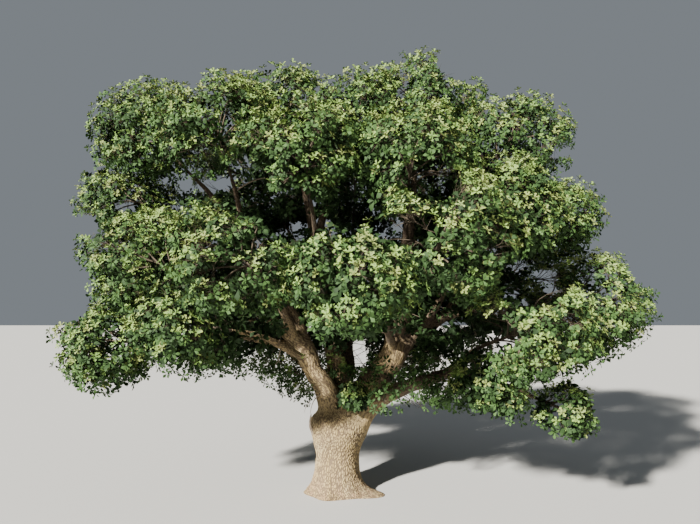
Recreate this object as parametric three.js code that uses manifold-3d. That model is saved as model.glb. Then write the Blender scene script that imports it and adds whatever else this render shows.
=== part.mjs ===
// A broad open-grown oak: a flared trunk cut flat at the ground, tapering boughs, and
// masses of leaves at their tips. Millimetres, +Z up, +X to the right of the view and
// +Y away from it. The origin is the middle of the flat cut under the trunk.
import * as THREE from 'three';
import { mergeVertices } from 'three/addons/utils/BufferGeometryUtils.js';
import Module from 'manifold-3d';

const wasm = await Module();
wasm.setup();

const METRE = 1000;
const UP = new THREE.Vector3(0, 0, 1);
const GOLDEN_ANGLE = Math.PI * (3 - Math.sqrt(5));
const SAME_PLACE = 1e-3; // corners nearer than this are one

// Trunk
const TRUNK_HEIGHT = 3.2 * METRE; // ground to the crotch
const TRUNK_SIDES = 24;
const TRUNK_RINGS = 11;
const RINGS_CROWDED_LOW = 1.4; // rings stand closer together in the flare
const WAIST_RADIUS = 0.77 * METRE;
const WAIST_HEIGHT = 1.25 * METRE;
const SHOULDER_RADIUS = 1.06 * METRE;
const SHOULDER_HEIGHT = 2.4 * METRE;
const CROTCH_RADIUS = 0.62 * METRE;
const FLARE_SPREAD = 0.28 * METRE; // all round, at the ground
const FLARE_FADE = 0.4 * METRE; // height over which the flare dies away
const LEAN = 0.12 * METRE; // the crotch stands this far to the right of the foot
// Toes of the roots: heading in degrees from +X, run out at the ground, half width in degrees
const TOES = [
  { heading: -18, out: 0.78 * METRE, half: 24 },
  { heading: 62, out: 0.3 * METRE, half: 26 },
  { heading: 128, out: 0.36 * METRE, half: 24 },
  { heading: 190, out: 0.22 * METRE, half: 26 },
  { heading: 246, out: 0.16 * METRE, half: 20 },
];

// Limbs
const SEAT_GAP = 0.3; // between a limb and what carries it
const SMOOTHED = SEAT_GAP / 6; // bumps finer than this are left out
const BOUGH_FOOT = 0.8 * TRUNK_HEIGHT; // a main bough springs from here, inside the trunk
const BOUGH_SIDES = 7;
const BOUGH_STEPS = 8;
const LIMB_SIDES = 5;
const LIMB_STEPS = 4;
const TIP_RADIUS = 0.06 * METRE;
const TAPER = 0.85; // 1 tapers evenly, less keeps the limb thick for longer
const RISE_AT = 0.45; // along the last stretch, where a limb stands highest above its chord
const RISE = 0.06; // that height against the stretch
const ENTRY = 0.93; // a limb ends this far out from the middle of its mass, against the reach
const LIMB_SAMPLE = 0.15 * METRE; // between the places where a limb's clear space is measured
const NEAR_SAMPLES = 40; // places along a limb that tell whether it passes near a mass
const NEAR_SHARE = 0.8; // of a mass's reach, within which a limb is cut out of its core

// Masses of leaves
const FLATNESS = 0.88; // height of a mass against its width
const CELL_MARGIN = 0.05 * METRE; // clear space kept to the next mass
const LIMB_MARGIN = 0.06 * METRE; // and to a limb
const LOWEST_LEAF = 0.3 * METRE;
const CORE_SHARE = 0.66; // dense inner part, against the reach
const CORE_ROUGHNESS = 0.14;
const CORE_MARGIN = 2 * LIMB_MARGIN; // clear space kept between the core and a limb
const CORE_DRAWN = 0.92; // each step by which the core is drawn in
const CORE_LEAST = 0.15; // and how far in it may come, against the reach
const STEM_RADIUS = 0.9 * TIP_RADIUS;
const STEM_SIDES = 5;
const STEM_STEPS = 2;
const STEM_BEND = 0.4; // how far a stem runs straight on from its limb, against the reach
const STEM_TAPER = 0.35; // share of the radius lost from foot to tip
const TWIG_RADIUS = 0.055 * METRE;
const TWIG_SIDES = 3;
const TWIG_TAPER = 0.4;
const TWIG_SHARE = 0.8; // a long twig runs this far towards the edge of its mass
const TWIG_EVERY = 4; // every fourth way out has a long twig, the others a short one
const TWIG_CHECKS = [0.25, 0.4, 0.55, 0.7, 0.85, 1]; // where along a twig its room is measured
const WAY_CHANCE = 0.7; // radians that a way out is turned by chance, at most
const SPRAY_ON_TWIG = 0.9; // along a long twig
const SPRAY_ROOT = 0.5; // how far out a spray on a short twig is rooted, inside the core
const SPRAY_REACH = 0.97; // how far out its tip stands
const SPRAY_TURN = 0.5; // radians that a spray leans away from its way out
const TURN_LEAST = 0.8; // share of that lean which every spray has
const TURN_CHANCE = 0.4; // and the share that chance adds, at most
const SPRAY_WIDTH = 0.66; // against its length; one leaf stands for a spray
const SPRAY_THICKNESS = 0.09; // against its length
const SPRAY_BELLY = 0.58; // along its length, where it is widest
const SPRAY_CHECKS = [0.3, 0.6, 0.8]; // where along a spray its room is measured
const EDGE_FROM_TIP = 0.5; // and where along its edges, from the tip
const EDGE_FROM_FOOT = 0.6; // and from the foot to the widest place
const WAYS_OUT = 14;
const FINEST = 0.012 * METRE; // finer edges where sprays cross are smoothed away

// Every limb: what carries it, where it springs or how far along its carrier it leaves, its
// radius there, the bends it passes, and the mass at its tip by its middle and its reach.
// These places and sizes are in metres.
const limbTable = [
  {
    name: 'bough_left', from: 'trunk', radius: 0.42, foot: [-0.2, -0.12],
    bends: [[-0.42, -0.16, 3.8], [-0.95, -0.25, 4.5], [-1.25, -0.35, 5.3]],
    mass: { name: 'foliage_left', at: [-6.1, -3.2, 8.3], reach: 2.45 },
  },
  {
    name: 'bough_right', from: 'trunk', radius: 0.6, foot: [0.5, -0.05],
    bends: [[1.25, -0.05, 3.9], [2.05, -0.15, 4.9], [2.35, -0.2, 5.9]],
    mass: { name: 'foliage_top_right', at: [3.3, -0.8, 14.5], reach: 2.45 },
  },
  {
    name: 'bough_centre', from: 'trunk', radius: 0.42, foot: [0.05, 0.3],
    bends: [[-0.1, 0.75, 4.6], [-0.7, 0.9, 7.4], [-0.75, 0.4, 9.8]],
    mass: { name: 'foliage_top', at: [0.6, -1.8, 13.7], reach: 2.3 },
  },
  {
    name: 'bough_right_low', from: 'trunk', radius: 0.34, foot: [0.7, -0.35],
    bends: [[1.5, -0.5, 3.35], [2.5, -0.8, 3.9], [3.8, -1.5, 4.45]],
    mass: { name: 'foliage_right_low', at: [5.7, -4.8, 6.1], reach: 2.2 },
  },
  {
    name: 'bough_back_left', from: 'trunk', radius: 0.36, foot: [-0.25, 0.35],
    bends: [[-0.9, 1.1, 4.1]],
    mass: { name: 'foliage_back_left', at: [-4.3, 5.6, 7.0], reach: 3.15 },
  },
  {
    name: 'bough_back', from: 'trunk', radius: 0.38, foot: [0.1, 0.5],
    bends: [[0.35, 1.7, 4.4]],
    mass: { name: 'foliage_back', at: [0.2, 7.0, 7.8], reach: 3.2 },
  },
  {
    name: 'bough_back_right', from: 'trunk', radius: 0.38, foot: [0.55, 0.4],
    bends: [[1.6, 1.3, 4.0]],
    mass: { name: 'foliage_back_right', at: [4.6, 5.6, 7.1], reach: 3.1 },
  },
  {
    name: 'bough_left_upright', from: 'bough_left', along: 0.36, radius: 0.25,
    bends: [[-1.85, -0.1, 6.9], [-3.3, 0.1, 8.9]],
    mass: { name: 'foliage_top_far_left', at: [-6.9, -1.7, 13.2], reach: 2.35 },
  },
  {
    name: 'bough_right_outer', from: 'bough_right', along: 0.27, radius: 0.28,
    bends: [[3.6, -0.5, 6.3]],
    mass: { name: 'foliage_right_tip', at: [8.35, -2.3, 6.8], reach: 2.5 },
  },
  {
    name: 'limb_left_low', from: 'bough_left', along: 0.42, radius: 0.16,
    mass: { name: 'foliage_left_low', at: [-7.5, -2.6, 5.6], reach: 2.05 },
  },
  {
    name: 'limb_left_front_low', from: 'bough_left', along: 0.34, radius: 0.14,
    mass: { name: 'foliage_left_front_low', at: [-4.4, -4.7, 6.3], reach: 1.85 },
  },
  {
    name: 'limb_left_front', from: 'bough_left', along: 0.5, radius: 0.17,
    mass: { name: 'foliage_left_front', at: [-2.5, -6.1, 8.1], reach: 2.3 },
  },
  {
    name: 'limb_left_tip', from: 'bough_left_upright', along: 0.5, radius: 0.12,
    mass: { name: 'foliage_left_tip', at: [-7.9, -1.0, 10.9], reach: 1.95 },
  },
  {
    name: 'limb_top_left', from: 'bough_left_upright', along: 0.62, radius: 0.13,
    mass: { name: 'foliage_top_left', at: [-3.9, -3.7, 12.6], reach: 2.2 },
  },
  {
    name: 'limb_centre_left', from: 'bough_centre', along: 0.6, radius: 0.2,
    mass: { name: 'foliage_top_centre_left', at: [-2.0, -0.9, 14.2], reach: 2.3 },
  },
  {
    name: 'limb_centre_front', from: 'bough_centre', along: 0.5, radius: 0.15,
    mass: { name: 'foliage_front_upper_left', at: [-0.9, -5.0, 11.2], reach: 2.2 },
  },
  {
    name: 'limb_centre_back', from: 'bough_centre', along: 0.42, radius: 0.2,
    mass: { name: 'foliage_top_back_left', at: [-3.5, 2.6, 12.4], reach: 3.0 },
  },
  {
    name: 'limb_right_front', from: 'bough_right', along: 0.36, radius: 0.2,
    mass: { name: 'foliage_right_front', at: [3.0, -6.2, 8.6], reach: 2.3 },
  },
  {
    name: 'limb_front', from: 'bough_right', along: 0.3, radius: 0.17,
    mass: { name: 'foliage_front', at: [0.6, -6.9, 7.5], reach: 2.1 },
  },
  {
    name: 'limb_right_front_upper', from: 'bough_right', along: 0.5, radius: 0.15,
    mass: { name: 'foliage_front_upper_right', at: [2.3, -4.9, 11.2], reach: 2.2 },
  },
  {
    name: 'limb_top_far_right', from: 'bough_right', along: 0.56, radius: 0.18,
    mass: { name: 'foliage_top_far_right', at: [6.4, -1.4, 12.9], reach: 2.35 },
  },
  {
    name: 'limb_right_upper', from: 'bough_right_outer', along: 0.5, radius: 0.14,
    mass: { name: 'foliage_right_upper', at: [7.4, -1.6, 9.9], reach: 2.2 },
  },
  {
    name: 'limb_right_middle', from: 'bough_right_outer', along: 0.36, radius: 0.15,
    mass: { name: 'foliage_right_middle', at: [5.2, -4.4, 9.7], reach: 2.2 },
  },
  {
    name: 'limb_right_low', from: 'bough_right_low', along: 0.5, radius: 0.12,
    mass: { name: 'foliage_right_inner_low', at: [4.8, -3.9, 4.6], reach: 1.55 },
  },
  {
    name: 'limb_right_hanging', from: 'bough_right_low', along: 0.66, radius: 0.1,
    mass: { name: 'foliage_right_hanging', at: [7.0, -4.1, 3.65], reach: 1.1 },
  },
  {
    name: 'limb_left_back', from: 'bough_back_left', along: 0.4, radius: 0.2,
    mass: { name: 'foliage_left_back', at: [-7.0, 2.3, 8.0], reach: 3.0 },
  },
  {
    name: 'limb_top_back', from: 'bough_back', along: 0.4, radius: 0.22,
    mass: { name: 'foliage_top_back', at: [0.7, 3.8, 12.8], reach: 3.1 },
  },
  {
    name: 'limb_right_back', from: 'bough_back_right', along: 0.4, radius: 0.2,
    mass: { name: 'foliage_right_back', at: [7.2, 2.2, 7.8], reach: 3.0 },
  },
  {
    name: 'limb_top_back_right', from: 'bough_back_right', along: 0.45, radius: 0.18,
    mass: { name: 'foliage_top_back_right', at: [4.7, 2.4, 12.0], reach: 2.9 },
  },
];
// A tuft of leafy shoots in the crotch, its stem straight out of the trunk
const sproutTable = {
  foot: [0.3, -0.5, 3.0],
  mass: { name: 'foliage_fork', at: [0.55, -1.25, 3.65], reach: 0.62 },
};

const bark = { color: 0xa08d78, roughness: 0.95, metalness: 0 };
const leaf = { color: 0x566b34, roughness: 0.8, metalness: 0 };

// A seeded stream of numbers from 0 to 1, a different one for each name
function streamOf(name) {
  let state = 0;
  for (const letter of name) {
    state = Math.imul(state, 31) + letter.charCodeAt(0) | 0;
  }
  return () => {
    state = state + 0x6d2b79f5 | 0;
    let mixed = Math.imul(state ^ state >>> 15, 1 | state);
    mixed = mixed + Math.imul(mixed ^ mixed >>> 7, 61 | mixed) ^ mixed;
    return ((mixed ^ mixed >>> 14) >>> 0) / 2 ** 32;
  };
}

function inMillimetres([x, y, z]) {
  return new THREE.Vector3(x, y, z).multiplyScalar(METRE);
}

// Closed geometries to solids and back
function solidFrom(geometry) {
  const bare = geometry.clone();
  bare.deleteAttribute('normal');
  bare.deleteAttribute('uv');
  const merged = mergeVertices(bare, SAME_PLACE);
  return new wasm.Manifold(new wasm.Mesh({
    numProp: 3,
    vertProperties: new Float32Array(merged.attributes.position.array),
    triVerts: new Uint32Array(merged.index.array),
  }));
}

// Only the largest piece is kept, so that no loose scrap is left
function geometryFrom(solid) {
  const [largest] = solid.decompose().sort((a, b) => b.volume() - a.volume());
  const mesh = largest.simplify(SMOOTHED).getMesh();
  const geometry = new THREE.BufferGeometry();
  geometry.setAttribute('position', new THREE.BufferAttribute(mesh.vertProperties, 3));
  geometry.setIndex(new THREE.BufferAttribute(mesh.triVerts, 1));
  const faceted = geometry.toNonIndexed();
  faceted.computeVertexNormals();
  return faceted;
}

function meshOf(name, geometry, finish) {
  const mesh = new THREE.Mesh(geometry, new THREE.MeshStandardMaterial(finish));
  mesh.name = name;
  return mesh;
}

// A cylinder bent along a curve, its radius given by how far along it is
function tubeAlong(curve, radiusAt, sides, steps) {
  const geometry = new THREE.CylinderGeometry(1, 1, 1, sides, steps);
  const frames = curve.computeFrenetFrames(steps);
  const position = geometry.attributes.position;
  for (let i = 0; i < position.count; i += 1) {
    const along = position.getY(i) + 0.5;
    const step = Math.round(along * steps);
    const radius = radiusAt(along);
    const place = curve.getPointAt(along);
    place.addScaledVector(frames.normals[step], position.getX(i) * radius);
    place.addScaledVector(frames.binormals[step], -position.getZ(i) * radius);
    position.setXYZ(i, place.x, place.y, place.z);
  }
  return geometry;
}

// Trunk: narrow at the waist, wide at the shoulders, closing in to the crotch
function smoothStep(low, high, value) {
  const share = THREE.MathUtils.clamp((value - low) / (high - low), 0, 1);
  return share * share * (3 - 2 * share);
}

function trunkRadius(height, heading) {
  const swell = smoothStep(WAIST_HEIGHT, SHOULDER_HEIGHT, height);
  const close = smoothStep(SHOULDER_HEIGHT, TRUNK_HEIGHT, height) ** 2;
  const column = WAIST_RADIUS + (SHOULDER_RADIUS - WAIST_RADIUS) * swell
    + (CROTCH_RADIUS - SHOULDER_RADIUS) * close;
  const fade = Math.exp(-height / FLARE_FADE);
  let flare = FLARE_SPREAD * fade;
  for (const toe of TOES) {
    const off = THREE.MathUtils.euclideanModulo(heading - toe.heading + 180, 360) - 180;
    flare += toe.out * fade * fade * Math.exp(-((off / toe.half) ** 2));
  }
  return column + flare;
}

function trunkGeometry(growth) {
  const geometry = new THREE.CylinderGeometry(1, 1, 1, TRUNK_SIDES, TRUNK_RINGS);
  const position = geometry.attributes.position;
  for (let i = 0; i < position.count; i += 1) {
    const share = position.getY(i) + 0.5;
    const height = TRUNK_HEIGHT * share ** RINGS_CROWDED_LOW;
    const heading = Math.atan2(-position.getZ(i), position.getX(i));
    const rim = Math.hypot(position.getX(i), position.getZ(i));
    const radius = rim * (trunkRadius(height, THREE.MathUtils.radToDeg(heading)) + growth);
    const lean = LEAN * (height / TRUNK_HEIGHT) ** 2;
    const top = share === 1 ? growth : 0;
    position.setXYZ(i, lean + radius * Math.cos(heading), radius * Math.sin(heading), height + top);
  }
  return geometry;
}

// Limbs: each tapers along a smooth curve from its carrier to the edge of its mass
const limbs = new Map();

function limbCurve(entry) {
  const start = entry.from === 'trunk'
    ? new THREE.Vector3(entry.foot[0] * METRE, entry.foot[1] * METRE, BOUGH_FOOT)
    : limbs.get(entry.from).curve.getPointAt(entry.along);
  const points = [start, ...(entry.bends ?? []).map(inMillimetres)];
  const last = points[points.length - 1];
  const middle = inMillimetres(entry.mass.at);
  const reach = entry.mass.reach * METRE;
  const high = last.clone().lerp(middle, RISE_AT);
  high.z += RISE * last.distanceTo(middle);
  const inward = high.clone().sub(middle).setLength(reach * ENTRY);
  inward.z = THREE.MathUtils.clamp(inward.z, -reach * FLATNESS, reach * FLATNESS);
  points.push(high, middle.add(inward));
  return new THREE.CatmullRomCurve3(points, false, 'centripetal');
}

for (const entry of limbTable) {
  const curve = limbCurve(entry);
  const foot = entry.radius * METRE;
  const radiusAt = (along) => TIP_RADIUS + (foot - TIP_RADIUS) * (1 - along) ** TAPER;
  const fromTrunk = entry.from === 'trunk';
  const sides = fromTrunk ? BOUGH_SIDES : LIMB_SIDES;
  const steps = fromTrunk ? BOUGH_STEPS : LIMB_STEPS;
  const grown = (growth) => solidFrom(
    tubeAlong(curve, (along) => radiusAt(along) + growth, sides, steps),
  );
  limbs.set(entry.name, { curve, radiusAt, grown });
}

const group = new THREE.Group();
group.add(meshOf('trunk', trunkGeometry(0), bark));

// Each limb is cut clear of its carrier, and of the earlier limbs on the same carrier
const grownTrunk = solidFrom(trunkGeometry(SEAT_GAP));
for (const [index, entry] of limbTable.entries()) {
  let solid = limbs.get(entry.name).grown(0);
  const carrier = entry.from === 'trunk' ? grownTrunk : limbs.get(entry.from).grown(SEAT_GAP);
  solid = solid.subtract(carrier);
  for (const earlier of limbTable.slice(0, index)) {
    if (earlier.from === entry.from) {
      solid = solid.subtract(limbs.get(earlier.name).grown(SEAT_GAP));
    }
  }
  group.add(meshOf(entry.name, geometryFrom(solid), bark));
}

// Masses of leaves: flattened balls that share flat walls where they meet
const masses = [...limbTable, sproutTable].map(({ mass }) => ({
  name: mass.name,
  middle: inMillimetres(mass.at),
  reach: mass.reach * METRE,
}));

function squashed(way) {
  return new THREE.Vector3(way.x, way.y, way.z * FLATNESS);
}

function unsquashed(way) {
  return new THREE.Vector3(way.x, way.y, way.z / FLATNESS);
}

// How far inside its mass's own space a point lies; below 0 it is outside
function roomAt(mass, point) {
  const from = unsquashed(point.clone().sub(mass.middle));
  let room = mass.reach - from.length();
  for (const other of masses) {
    const between = unsquashed(other.middle.clone().sub(mass.middle));
    const distance = between.length();
    if (other !== mass && distance < mass.reach + other.reach) {
      const wall = (distance ** 2 + mass.reach ** 2 - other.reach ** 2) / (2 * distance);
      room = Math.min(room, wall - from.dot(between) / distance - CELL_MARGIN);
    }
  }
  return room;
}

const limbSamples = [...limbs.values()].flatMap(({ curve, radiusAt }) => {
  const steps = Math.ceil(curve.getLength() / LIMB_SAMPLE);
  return Array.from({ length: steps + 1 }, (_, step) => ({
    place: curve.getPointAt(step / steps),
    radius: radiusAt(step / steps),
  }));
});

function clearOfLimbs(point, margin) {
  return limbSamples.every(({ place, radius }) => place.distanceTo(point) > radius + margin);
}

function hasRoom(mass, points, margin) {
  return points.every((point) => roomAt(mass, point) > 0 && clearOfLimbs(point, margin)
    && point.z > LOWEST_LEAF);
}

// A spray of leaves as one leaf of eight faces, thick at the middle, its face turned out.
// Its corners are its foot, its tip, its two edges and its two faces.
function sprayCorners(foot, tip, outward) {
  const along = tip.clone().sub(foot);
  const edge = outward.clone().cross(along).setLength(along.length() * SPRAY_WIDTH / 2);
  const face = along.clone().cross(edge).setLength(along.length() * SPRAY_THICKNESS / 2);
  const belly = foot.clone().lerp(tip, SPRAY_BELLY);
  return [foot, tip, belly.clone().add(edge), belly.clone().sub(edge),
    belly.clone().add(face), belly.clone().sub(face)];
}

function sprayRoom(mass, corners) {
  const [foot, tip, left, right] = corners;
  const between = SPRAY_CHECKS.map((share) => foot.clone().lerp(tip, share));
  const edges = [left, right].flatMap((edge) => [
    tip.clone().lerp(edge, EDGE_FROM_TIP),
    foot.clone().lerp(edge, EDGE_FROM_FOOT),
  ]);
  return hasRoom(mass, [...corners.slice(1), ...between, ...edges], LIMB_MARGIN);
}

function spraySolid(corners) {
  const geometry = new THREE.OctahedronGeometry(1);
  const position = geometry.attributes.position;
  for (let i = 0; i < position.count; i += 1) {
    const point = [position.getX(i), position.getY(i), position.getZ(i)];
    const axis = point.findIndex((value) => Math.abs(value) > 0.5);
    const corner = corners[axis * 2 + (point[axis] > 0 ? 1 : 0)];
    position.setXYZ(i, corner.x, corner.y, corner.z);
  }
  return solidFrom(geometry);
}

function twigRoom(mass, tip) {
  const points = TWIG_CHECKS.map((share) => mass.middle.clone().lerp(tip, share));
  return hasRoom(mass, points, LIMB_MARGIN + TWIG_RADIUS);
}

function twigSolid(mass, tip) {
  const line = new THREE.LineCurve3(mass.middle, tip);
  const radiusAt = (along) => TWIG_RADIUS * (1 - TWIG_TAPER * along);
  return solidFrom(tubeAlong(line, radiusAt, TWIG_SIDES, 1));
}

// The dense inner part: a rough ball drawn in wherever it would leave the mass's space
function coreSolid(mass, random) {
  const bare = new THREE.IcosahedronGeometry(1, 1);
  bare.deleteAttribute('normal');
  bare.deleteAttribute('uv');
  const ball = mergeVertices(bare, SAME_PLACE);
  const position = ball.attributes.position;
  for (let i = 0; i < position.count; i += 1) {
    const way = squashed(new THREE.Vector3().fromBufferAttribute(position, i));
    let out = mass.reach * CORE_SHARE * (1 + CORE_ROUGHNESS * (2 * random() - 1));
    let place = mass.middle.clone().addScaledVector(way, out);
    while (out > CORE_LEAST * mass.reach && !hasRoom(mass, [place], CORE_MARGIN)) {
      out *= CORE_DRAWN;
      place = mass.middle.clone().addScaledVector(way, out);
    }
    position.setXYZ(i, place.x, place.y, place.z);
  }
  let core = solidFrom(ball);
  const near = (place) => place.distanceTo(mass.middle) < NEAR_SHARE * mass.reach;
  for (const { curve, grown } of limbs.values()) {
    if (curve.getPoints(NEAR_SAMPLES).some(near)) {
      core = core.subtract(grown(LIMB_MARGIN));
    }
  }
  return core;
}

// Twigs leave the middle of the mass by the golden angle, each turned a little by chance.
// A long twig carries two sprays beyond the core, and a short one ends in the core under
// the root of one spray. What has no room is skipped.
function leafyPart(mass) {
  const random = streamOf(mass.name);
  let solid = coreSolid(mass, random);
  for (let index = 0; index < WAYS_OUT; index += 1) {
    const height = 1 - 2 * (index + 0.5) / WAYS_OUT;
    const turn = index * GOLDEN_ANGLE + WAY_CHANCE * random();
    const level = Math.sqrt(1 - height ** 2);
    const way = new THREE.Vector3(level * Math.cos(turn), level * Math.sin(turn), height);
    const axis = way.clone().cross(UP).normalize().applyAxisAngle(way, 2 * Math.PI * random());
    const long = index % TWIG_EVERY === 0;
    const outTo = (direction, share) => mass.middle.clone()
      .addScaledVector(squashed(direction), mass.reach * share);
    const foot = outTo(way, long ? TWIG_SHARE * SPRAY_ON_TWIG : SPRAY_ROOT);
    const grown = [];
    for (const lean of long ? [SPRAY_TURN, -SPRAY_TURN] : [SPRAY_TURN]) {
      const turned = lean * (TURN_LEAST + TURN_CHANCE * random());
      const leaned = way.clone().applyAxisAngle(axis, turned);
      const corners = sprayCorners(foot, outTo(leaned, SPRAY_REACH), way);
      if (sprayRoom(mass, corners)) {
        grown.push(spraySolid(corners));
      }
    }
    const tip = outTo(way, TWIG_SHARE);
    if (long && grown.length > 0 && twigRoom(mass, tip)) {
      grown.push(twigSolid(mass, tip));
    } else if (long) {
      grown.length = 0;
    }
    for (const part of grown) {
      solid = solid.add(part);
    }
  }
  return solid.simplify(FINEST);
}

function stemSolid(from, bend, to) {
  const curve = new THREE.QuadraticBezierCurve3(from, bend, to);
  const radiusAt = (along) => STEM_RADIUS * (1 - STEM_TAPER * along);
  return solidFrom(tubeAlong(curve, radiusAt, STEM_SIDES, STEM_STEPS));
}

for (const [index, mass] of masses.entries()) {
  let stem;
  if (index < limbTable.length) {
    const { curve } = limbs.get(limbTable[index].name);
    const tangent = curve.getTangentAt(1);
    const foot = curve.getPointAt(1).addScaledVector(tangent, SEAT_GAP);
    const bend = foot.clone().addScaledVector(tangent, STEM_BEND * mass.reach);
    stem = stemSolid(foot, bend, mass.middle);
  } else {
    const foot = inMillimetres(sproutTable.foot);
    stem = stemSolid(foot, foot.clone().lerp(mass.middle, 0.5), mass.middle).subtract(grownTrunk);
  }
  group.add(meshOf(mass.name, geometryFrom(leafyPart(mass).add(stem)), leaf));
}

export default group;
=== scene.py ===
# Looks of a broad open-grown oak: fissured bark on the trunk and limbs, and masses of twigs
# and lobed leaves that grow on from the limbs. Metres, +Z up, the foot of the tree at the origin.
import math

import bmesh
import bpy
import numpy as np
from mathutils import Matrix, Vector, noise


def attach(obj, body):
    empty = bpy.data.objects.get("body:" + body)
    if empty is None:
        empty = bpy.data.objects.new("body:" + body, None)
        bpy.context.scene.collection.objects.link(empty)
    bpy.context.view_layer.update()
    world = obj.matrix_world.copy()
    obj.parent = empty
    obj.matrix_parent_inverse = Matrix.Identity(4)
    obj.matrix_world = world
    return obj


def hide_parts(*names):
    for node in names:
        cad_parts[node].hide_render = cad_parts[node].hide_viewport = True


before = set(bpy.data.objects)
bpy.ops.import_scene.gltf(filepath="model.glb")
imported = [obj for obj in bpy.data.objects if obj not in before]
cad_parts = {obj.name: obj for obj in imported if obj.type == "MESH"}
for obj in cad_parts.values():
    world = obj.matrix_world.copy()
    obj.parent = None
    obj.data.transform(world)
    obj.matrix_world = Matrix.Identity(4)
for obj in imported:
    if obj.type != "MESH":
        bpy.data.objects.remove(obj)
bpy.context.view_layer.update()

UP = np.array([0.0, 0.0, 1.0])
GOLDEN_ANGLE = math.pi * (3 - math.sqrt(5))
WORD = 0xFFFFFFFF
FULL_TURN = 6.3  # radians, for a turn left to chance

# Trunk
TRUNK_HEIGHT = 3.2
WAIST_RADIUS = 0.77
WAIST_HEIGHT = 1.25
SHOULDER_RADIUS = 1.06
SHOULDER_HEIGHT = 2.4
CROTCH_RADIUS = 0.62
FLARE_SPREAD = 0.28
FLARE_FADE = 0.4
LEAN = 0.12
# Toes of the roots: heading in degrees from +X, run out at the ground, half width in degrees
TOES = [(-18, 0.78, 24), (62, 0.3, 26), (128, 0.36, 24), (190, 0.22, 26), (246, 0.16, 20)]
TRUNK_COLUMNS = 400
TRUNK_ROWS = 170
CROWDED_LOW = 1.15  # rows stand a little closer together in the flare
DOME_FROM = 0.93  # rows past this share close the trunk over between the boughs
DOME_RISE = 0.16
DOME_SHUT = 0.98  # how far the dome closes before its last row is capped
DOME_GRAIN = 0.6  # length of the bark over the dome
LEAST_GRAIN = 0.3  # the bark doesn't crowd together on a smaller radius than this
WALL_SLOPE = 0.85  # the nearest way out of the wall, against the level one

# Limbs
BOUGH_FOOT = 0.8 * TRUNK_HEIGHT
TIP_RADIUS = 0.06
TAPER = 0.85
RISE_AT = 0.45
RISE = 0.06
ENTRY = 0.93
CURVE_SAMPLES = 240
FORK_SOFTNESS = 0.11  # how widely the trunk and its boughs flow into each other
LIMB_SOFTNESS = 0.045  # and a limb and its bough
FORK_DEPTH = 0.34  # bark deeper than this inside another limb stays where it is
FORK_SWELL = 0.4  # and none moves out further than this
FORK_TOUCH = 0.002  # bark this near to the joined skin is on it already
FLOW_STEPS = 6
FLOW_STEP = 0.8  # share of what is left to go at each step
FAR_OFF = 2  # gaps wider than this all count the same
GAP_STEP = 0.1  # between the places where a gap to a limb is measured
NEAR_FOOT = 3.0  # how much of a limb's length counts at its fork
COLUMN_WIDTH = 0.03
ROW_LENGTH = 0.06
LIMB_COLUMNS = (18, 128)  # fewest and most
WANDER = 0.22  # how far a limb's middle strays from its line, against its radius
WANDER_SCALE = 0.9
LIMB_LUMPS = 0.16  # height of the lumps, against the radius
LIMB_LUMP_SCALE = 1.7
STOUT = 0.2  # a slimmer limb has no finer lumps than one of this radius

# Bark
PLATE_WIDTH = 0.064
PLATE_LENGTH = 0.15
PLATE_DEPTH = 0.017
PLATE_FOOT = 0.02  # where a fissure ends, and where a plate's top begins
PLATE_EDGE = 0.35
PLATE_STRAY = 0.5  # how far the plates stray from an even spread
STRAY_SCALE = 0.55
LIMB_PLATE = 0.15  # width of a plate on a slim limb, against the radius
LEAST_PLATE = 0.026
LIMB_RELIEF = 0.055  # and how far its plates stand out
FLUTE_DEPTH = 0.06  # long shallow hollows that run up from between the toes
FLUTE_SCALE = np.array([1.6, 1.6, 0.35])
FLUTE_WEIGHT = 1.6
FOLD_WEIGHT = 1.4  # how much deeper the flutes are at the foot
FOLD_FADE = 0.6
LUMP_SCALE = 2.4
LUMP_SHIFT = 7
LUMP_WEIGHT = 0.6
TRUE_FOOT = 0.08  # below this height the flutes fade out

# Masses of leaves
FLATNESS = 0.88
CELL_MARGIN = 0.05
LIMB_MARGIN = 0.06
CLEAR_STEP = 0.2  # between the places where clear space round a limb is measured
LOWEST_LEAF = 0.3
WAYS_OUT = 14
TWIG_EVERY = 4
CORE_DRAWS = 42  # numbers that the source's core takes from the stream before the ways out
WAY_CHANCE = 0.7

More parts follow.
